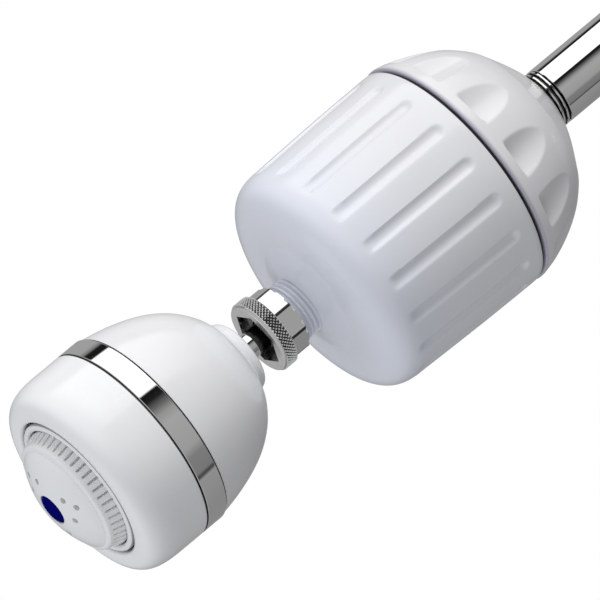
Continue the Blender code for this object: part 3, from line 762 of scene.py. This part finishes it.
rear = [(9.0, -96.0)]
rear += flowing([(10.1, -96.02), (11.5, -96.4), (12.6, -97.3), (13.3, -98.7), (13.9, -100.2),
                 (14.9, -101.0), (16.5, -101.65), (19.75, -103.3), (24.3, -107.1), (27.75, -111.3),
                 (30.3, -115.5), (32.15, -119.6), (33.65, -123.8), (34.85, -128.0), (35.8, -132.1),
                 (36.7, -137.0)], 0.6)
rear += outline([(36.75, -137.2, 0.15), (36.5, -137.35, 0.15), (34.6, -137.35), (34.6, -133.0),
                 (32.6, -128.0, 3.0), (30.0, -120.0, 4.0), (24.0, -110.5, 4.0), (17.0, -105.6, 1.0),
                 (9.4, -105.6), (9.4, -108.0), (6.5, -108.0), (6.5, -98.6), (4.8, -98.6), (4.8, -96.0, 0.3),
                 (9.0, -96.0)], closed=False, soft=0.2)
rear_mesh = turned_mesh("rear_shell", rear, 240)
rear_node = piece(rear_mesh, "head", "head_rear_shell", white_rear)
# the rear shell's faces in the gap below it get painted shade, in the black rubber
repaint(rear_node, [(black_rubber, lambda radius, station, theta: station < REAR_GAP)])

band = outline([(35.75, -137.75), (HEAD - 0.2, -137.75, 0.2), (HEAD, -137.95, 0.2), (HEAD, -145.6, 0.2),
                (HEAD - 0.2, -145.8, 0.2), (35.75, -145.8)])
band_mesh = turned_mesh("bright_band", band, 288)
band_node = piece(band_mesh, "head", "chrome_band", chrome_trim)
# the band's faces in the gap below it get painted shade, in the black rubber
repaint(band_node, [(black_rubber, lambda radius, station, theta: station < BAND_GAP)])

front = [(35.45, -146.35), (36.8, -146.35), (37.05, -146.45), (37.18, -146.75), (HEAD, -147.2)]
front += flowing([(HEAD, -147.6), (HEAD, -151.0), (HEAD, -155.0)], 1.2)
front += shoulder(-169.95, 28.4, -155.0, HEAD, power=2.95, count=56)[1:]
front += flowing([(28.4, -169.95), (27.7, -169.86), (27.15, -169.6), (26.8, -169.1), (26.65, -168.4),
                  (26.6, -167.1)], 0.25)[1:]
front += outline([(26.6, -167.1), (26.5, -166.2), (30.4, -164.4, 1.5), (33.6, -159.5, 2.0),
                  (34.6, -152.0, 2.0), (33.2, -145.0, 1.0), (32.3, -141.0, 1.0), (32.3, -134.0),
                  (34.3, -134.0), (34.3, -137.7), (35.45, -137.7)], closed=False, soft=0.2)
front_mesh = turned_mesh("front_shell", front, 288)
piece(front_mesh, "head", "head_front_shell", white_front)

ring = outline([(22.8, -150.0), (26.0, -150.0), (26.0, -165.0), (25.98, -165.6), (25.95, -169.0, 0.4),
                (25.6, -169.6, 0.3), (25.05, -169.92, 0.3), (24.4, -170.03, 0.3), (23.8, -169.75, 0.3),
                (23.5, -169.2, 0.3), (23.45, -161.0), (22.8, -160.0)], soft=0.2)
ring_mesh = turned_mesh("smooth_ring", ring, 240)
ring_node = piece(ring_mesh, "head", "face_ring", white_ring)
repaint(ring_node, [(ring_shadow, lambda radius, station, theta: radius > RING_GAP)])


# ---------------------------------------------------------------- dial
DIAL = 23.0             # radius over the ribs
RIBS = 48
RIB_PHASE = 4.9         # degrees to the first slot between two ribs
SLOT_DEEP = 1.6
OUTLET_GROUPS = 3
OUTLET_PHASE = 31.9     # degrees to the middle of the first group
OUTLETS = ((10.6, -22.6), (13.9, -3.6), (10.6, 22.6))       # radius and degrees from the group's middle
DRILL_LOW = 1.15        # radius of the drill's lower and upper end
DRILL_HIGH = 1.05
DRILL_LONG = 12.0
DRILL_STATION = -178.0  # of its middle


def dial_shape(theta, radius, station, normal):
    """Grip ribs round the dial's flank."""
    turn = np.mod((theta - RIB_PHASE) / 360.0 * RIBS + 0.5, 1.0)
    slot = 1.0 - smooth(0.06, 0.17, np.abs(turn - 0.5))
    zone = smooth(-168.2, -168.6, station) * (1.0 - smooth(-172.7, -173.7, station))
    cut = SLOT_DEEP * slot * zone * ((normal[:, :1] > 0.3) & (radius > 20.5))
    return radius - cut * normal[:, :1], station - cut * normal[:, 1:]


dial = outline([(20.3, -158.0), (22.2, -158.0, 0.3), (DIAL, -167.8, 0.5), (DIAL, -168.5, 0.3)],
               closed=False)[1:]
dial += denser([(DIAL, -168.6), (22.95, -169.4), (21.6, -173.6)], -176.0, -168.0, 0.25)
dial += corner((21.6, -173.6), (21.25, -174.8), (20.2, -175.2), 0.9)
dial += outline([(20.2, -175.2), (19.75, -175.2, 0.1), (19.3, -175.55, 0.1)], closed=False)[1:]
dial += flowing([(19.3, -175.6), (17.0, -177.1), (13.0, -178.95), (9.0, -180.25), (6.3, -180.85)], 0.5)
dial += outline([(6.2, -180.9), (5.95, -181.05, 0.1), (5.7, -180.9, 0.1), (5.7, -179.3), (3.2, -179.3),
                 (3.2, -176.6), (1.6, -176.6), (1.6, -173.5), (4.3, -173.5), (4.3, -160.0), (7.5, -160.0),
                 (7.5, -176.2), (13.0, -175.6, 1.0), (18.6, -173.0, 1.5), (20.3, -169.0, 1.0),
                 (20.3, -158.0)], closed=False, soft=0.15)
dial_mesh = turned_mesh("dial_dome", dial, 960, dial_shape)
dial_node = piece(dial_mesh, "dial", "dial_face", white_dial)

drills = bmesh.new()
for group in range(OUTLET_GROUPS):
    for offset, angle in OUTLETS:
        turn = Matrix.Rotation(math.radians(OUTLET_PHASE + 360.0 / OUTLET_GROUPS * group + angle), 4, "Z")
        move = Matrix.Translation(Vector((offset, 0.0, DRILL_STATION)) * MM)
        bmesh.ops.create_cone(drills, cap_ends=True, segments=24, radius1=DRILL_LOW * MM,
                              radius2=DRILL_HIGH * MM, depth=DRILL_LONG * MM, matrix=turn @ move)
drill_mesh = bpy.data.meshes.new("outlets")
drills.to_mesh(drill_mesh)
drills.free()
carve(dial_node, drill_mesh, "outlets")

button = [(0.0, -179.6), (5.3, -179.6), (5.4, -179.8)]
button += flowing([(5.4, -180.5), (5.0, -180.95), (3.5, -181.12), (1.6, -181.19), (0.0, -181.2)], 0.35)
button_mesh = turned_mesh("centre_button", button, 96, closed=False)
piece(button_mesh, "dial", "blue_cap", navy)


# ---------------------------------------------------------------- stage: floor and camera
FLOOR_HALF = 4.0        # metres
FLOOR_DROP = 0.25       # metres below the object

floor_mesh = bpy.data.meshes.new("floor")
work = bmesh.new()
bmesh.ops.create_grid(work, x_segments=1, y_segments=1, size=FLOOR_HALF)
work.to_mesh(floor_mesh)
work.free()
floor = bpy.data.objects.new("floor", floor_mesh)
scene.collection.objects.link(floor)
floor.location = (0.0, 0.0, cad_low.z - FLOOR_DROP)
mat, tree, shader = nodes_of("floor_paint")
tree.links.new(blend_colors(tree, noise(tree, scale=3.0), (0.88, 0.88, 0.88), (0.92, 0.92, 0.92)),
               shader.inputs["Base Color"])
shader.inputs["Roughness"].default_value = 0.8
floor_mesh.materials.append(mat)
floor.visible_diffuse = False
floor.visible_glossy = False

DISTANCE = 7.5          # metres from the camera to the object
SEEN = 196.7213         # millimetres across the picture at the object
AIM_STATION = -70.3     # of the picture's middle on the hang axis, then millimetres right of it and above it
AIM_RIGHT = 0.4918
AIM_UP = 1.7377
SENSOR = 36.0           # millimetres
AZIMUTH = math.radians(-27.87)      # of the camera round the vertical
ROLL = math.radians(8.8)            # of the picture

back = Vector((math.sin(AZIMUTH), -math.cos(AZIMUTH), 0.0))
level = Vector((-back.y, back.x, 0.0))
right = math.cos(ROLL) * level + math.sin(ROLL) * Vector((0.0, 0.0, 1.0))
up = -math.sin(ROLL) * level + math.cos(ROLL) * Vector((0.0, 0.0, 1.0))
middle = SEAM + (UP_AXIS * AIM_STATION + right * AIM_RIGHT + up * AIM_UP) * MM
lens = bpy.data.cameras.new("camera")
lens.sensor_width = SENSOR
lens.lens = SENSOR * DISTANCE / (SEEN * MM)
lens.clip_start = 0.1
lens.clip_end = 100.0
camera = bpy.data.objects.new("camera", lens)
scene.collection.objects.link(camera)
camera_axes = Matrix((right, up, back)).transposed().to_4x4()
camera.matrix_world = Matrix.Translation(middle + back * DISTANCE) @ camera_axes
scene.camera = camera


# ---------------------------------------------------------------- light
# A studio tent: plain white where the camera looks past the object, soft from beyond the head for matt
# surfaces, hard strips for bright metal. The strips lie round the hang axis, as (degrees, level). 0 degrees
# is towards the camera, and a positive angle is on the picture's lower right.
STRIPS = ((-180.0, 0.35), (-126.0, 0.36), (-119.0, 0.20), (-115.0, 0.01), (-104.5, 0.01), (-102.5, 1.3),
          (-32.0, 1.3), (-29.5, 0.005), (-21.0, 0.015), (-12.0, 0.14), (-4.0, 0.31), (6.0, 0.385),
          (40.0, 0.34), (50.0, 0.21), (70.0, 0.19), (73.0, 0.07), (75.5, 0.07), (78.0, 0.29),
          (120.0, 0.25), (160.0, 0.25), (180.0, 0.35))

# The stops below run along the hang axis: 0 beyond the head, 0.5 square to the axis, 1 beyond the arm.
# ENDS_SHARE says how much of ENDS_LIGHT takes the strips' place, and SOFT_LIGHT falls on matt surfaces.
ENDS_SHARE = ((0.0, 1.0), (0.46, 1.0), (0.62, 0.0), (0.80, 0.0), (0.92, 0.8), (1.0, 1.0))
ENDS_LIGHT = ((0.4, 0.45), (0.6, 0.12))
SOFT_LIGHT = ((0.0, (1.08, 1.11, 1.17)), (0.5, (0.34, 0.34, 0.345)), (1.0, (0.16, 0.16, 0.164)))

KEY_POWER = 2.5
KEY_WIDTH = math.radians(35.0)
KEY_RISE = math.radians(28.0)       # towards the arm
KEY_SWING = math.radians(-55.0)     # round the hang axis, measured as the strips are

facing = (back - back.dot(UP_AXIS) * UP_AXIS).normalized()
lower = facing.cross(UP_AXIS)
if lower.dot(up) > 0.0:
    lower = -lower
world = bpy.data.worlds.new("tent")
scene.world = world
world.use_nodes = True
tree = world.node_tree
tree.nodes.clear()
coords = tree.nodes.new("ShaderNodeTexCoord")


def math_node(operation, *values):
    step = tree.nodes.new("ShaderNodeMath")
    step.operation = operation
    for index, value in enumerate(values):
        if isinstance(value, float):
            step.inputs[index].default_value = value
        else:
            tree.links.new(value, step.inputs[index])
    return step.outputs["Value"]


def along(direction):
    """How far a ray points along a direction, from -1 to 1."""
    step = tree.nodes.new("ShaderNodeVectorMath")
    step.operation = "DOT_PRODUCT"
    tree.links.new(coords.outputs["Generated"], step.inputs[0])
    step.inputs[1].default_value = direction
    return step.outputs["Value"]


def ramp(value, stops):
    """A colour ramp. A stop is (position, level), and a level is a grey or a colour."""
    step = tree.nodes.new("ShaderNodeValToRGB")
    marks = step.color_ramp.elements
    while len(marks) < len(stops):
        marks.new(0.5)
    for mark, (position, level) in zip(marks, stops):
        mark.position = position
        mark.color = (*level, 1.0) if isinstance(level, tuple) else (level, level, level, 1.0)
    tree.links.new(value, step.inputs["Fac"])
    return step.outputs["Color"]


turn = math_node("ARCTAN2", along(lower), along(facing))
turn = math_node("MULTIPLY_ADD", turn, 0.5 / math.pi, 0.5)
rising = math_node("MULTIPLY_ADD", along(UP_AXIS), 0.5, 0.5)
strips = ramp(turn, [(degrees / 360.0 + 0.5, level) for degrees, level in STRIPS])
metal_light = blend_colors(tree, ramp(rising, ENDS_SHARE), strips, ramp(rising, ENDS_LIGHT))
path = tree.nodes.new("ShaderNodeLightPath")
lit = blend_colors(tree, path.outputs["Is Diffuse Ray"], metal_light, ramp(rising, SOFT_LIGHT))
seen = blend_colors(tree, path.outputs["Is Camera Ray"], lit, (1.0, 1.0, 1.0))
glow = tree.nodes.new("ShaderNodeBackground")
tree.links.new(seen, glow.inputs["Color"])
out = tree.nodes.new("ShaderNodeOutputWorld")
tree.links.new(glow.outputs["Background"], out.inputs["Surface"])
world.cycles.sampling_method = "NONE"

lamp = bpy.data.lights.new("key", "SUN")
lamp.energy = KEY_POWER
lamp.angle = KEY_WIDTH
key = bpy.data.objects.new("key", lamp)
scene.collection.objects.link(key)
key_side = math.cos(KEY_SWING) * facing + math.sin(KEY_SWING) * lower
toward_key = key_side * math.cos(KEY_RISE) + UP_AXIS * math.sin(KEY_RISE)
key.matrix_world = toward_key.to_track_quat("Z", "Y").to_matrix().to_4x4()
key.visible_glossy = False

scene.view_settings.view_transform = "Standard"
scene.cycles.use_denoising = True
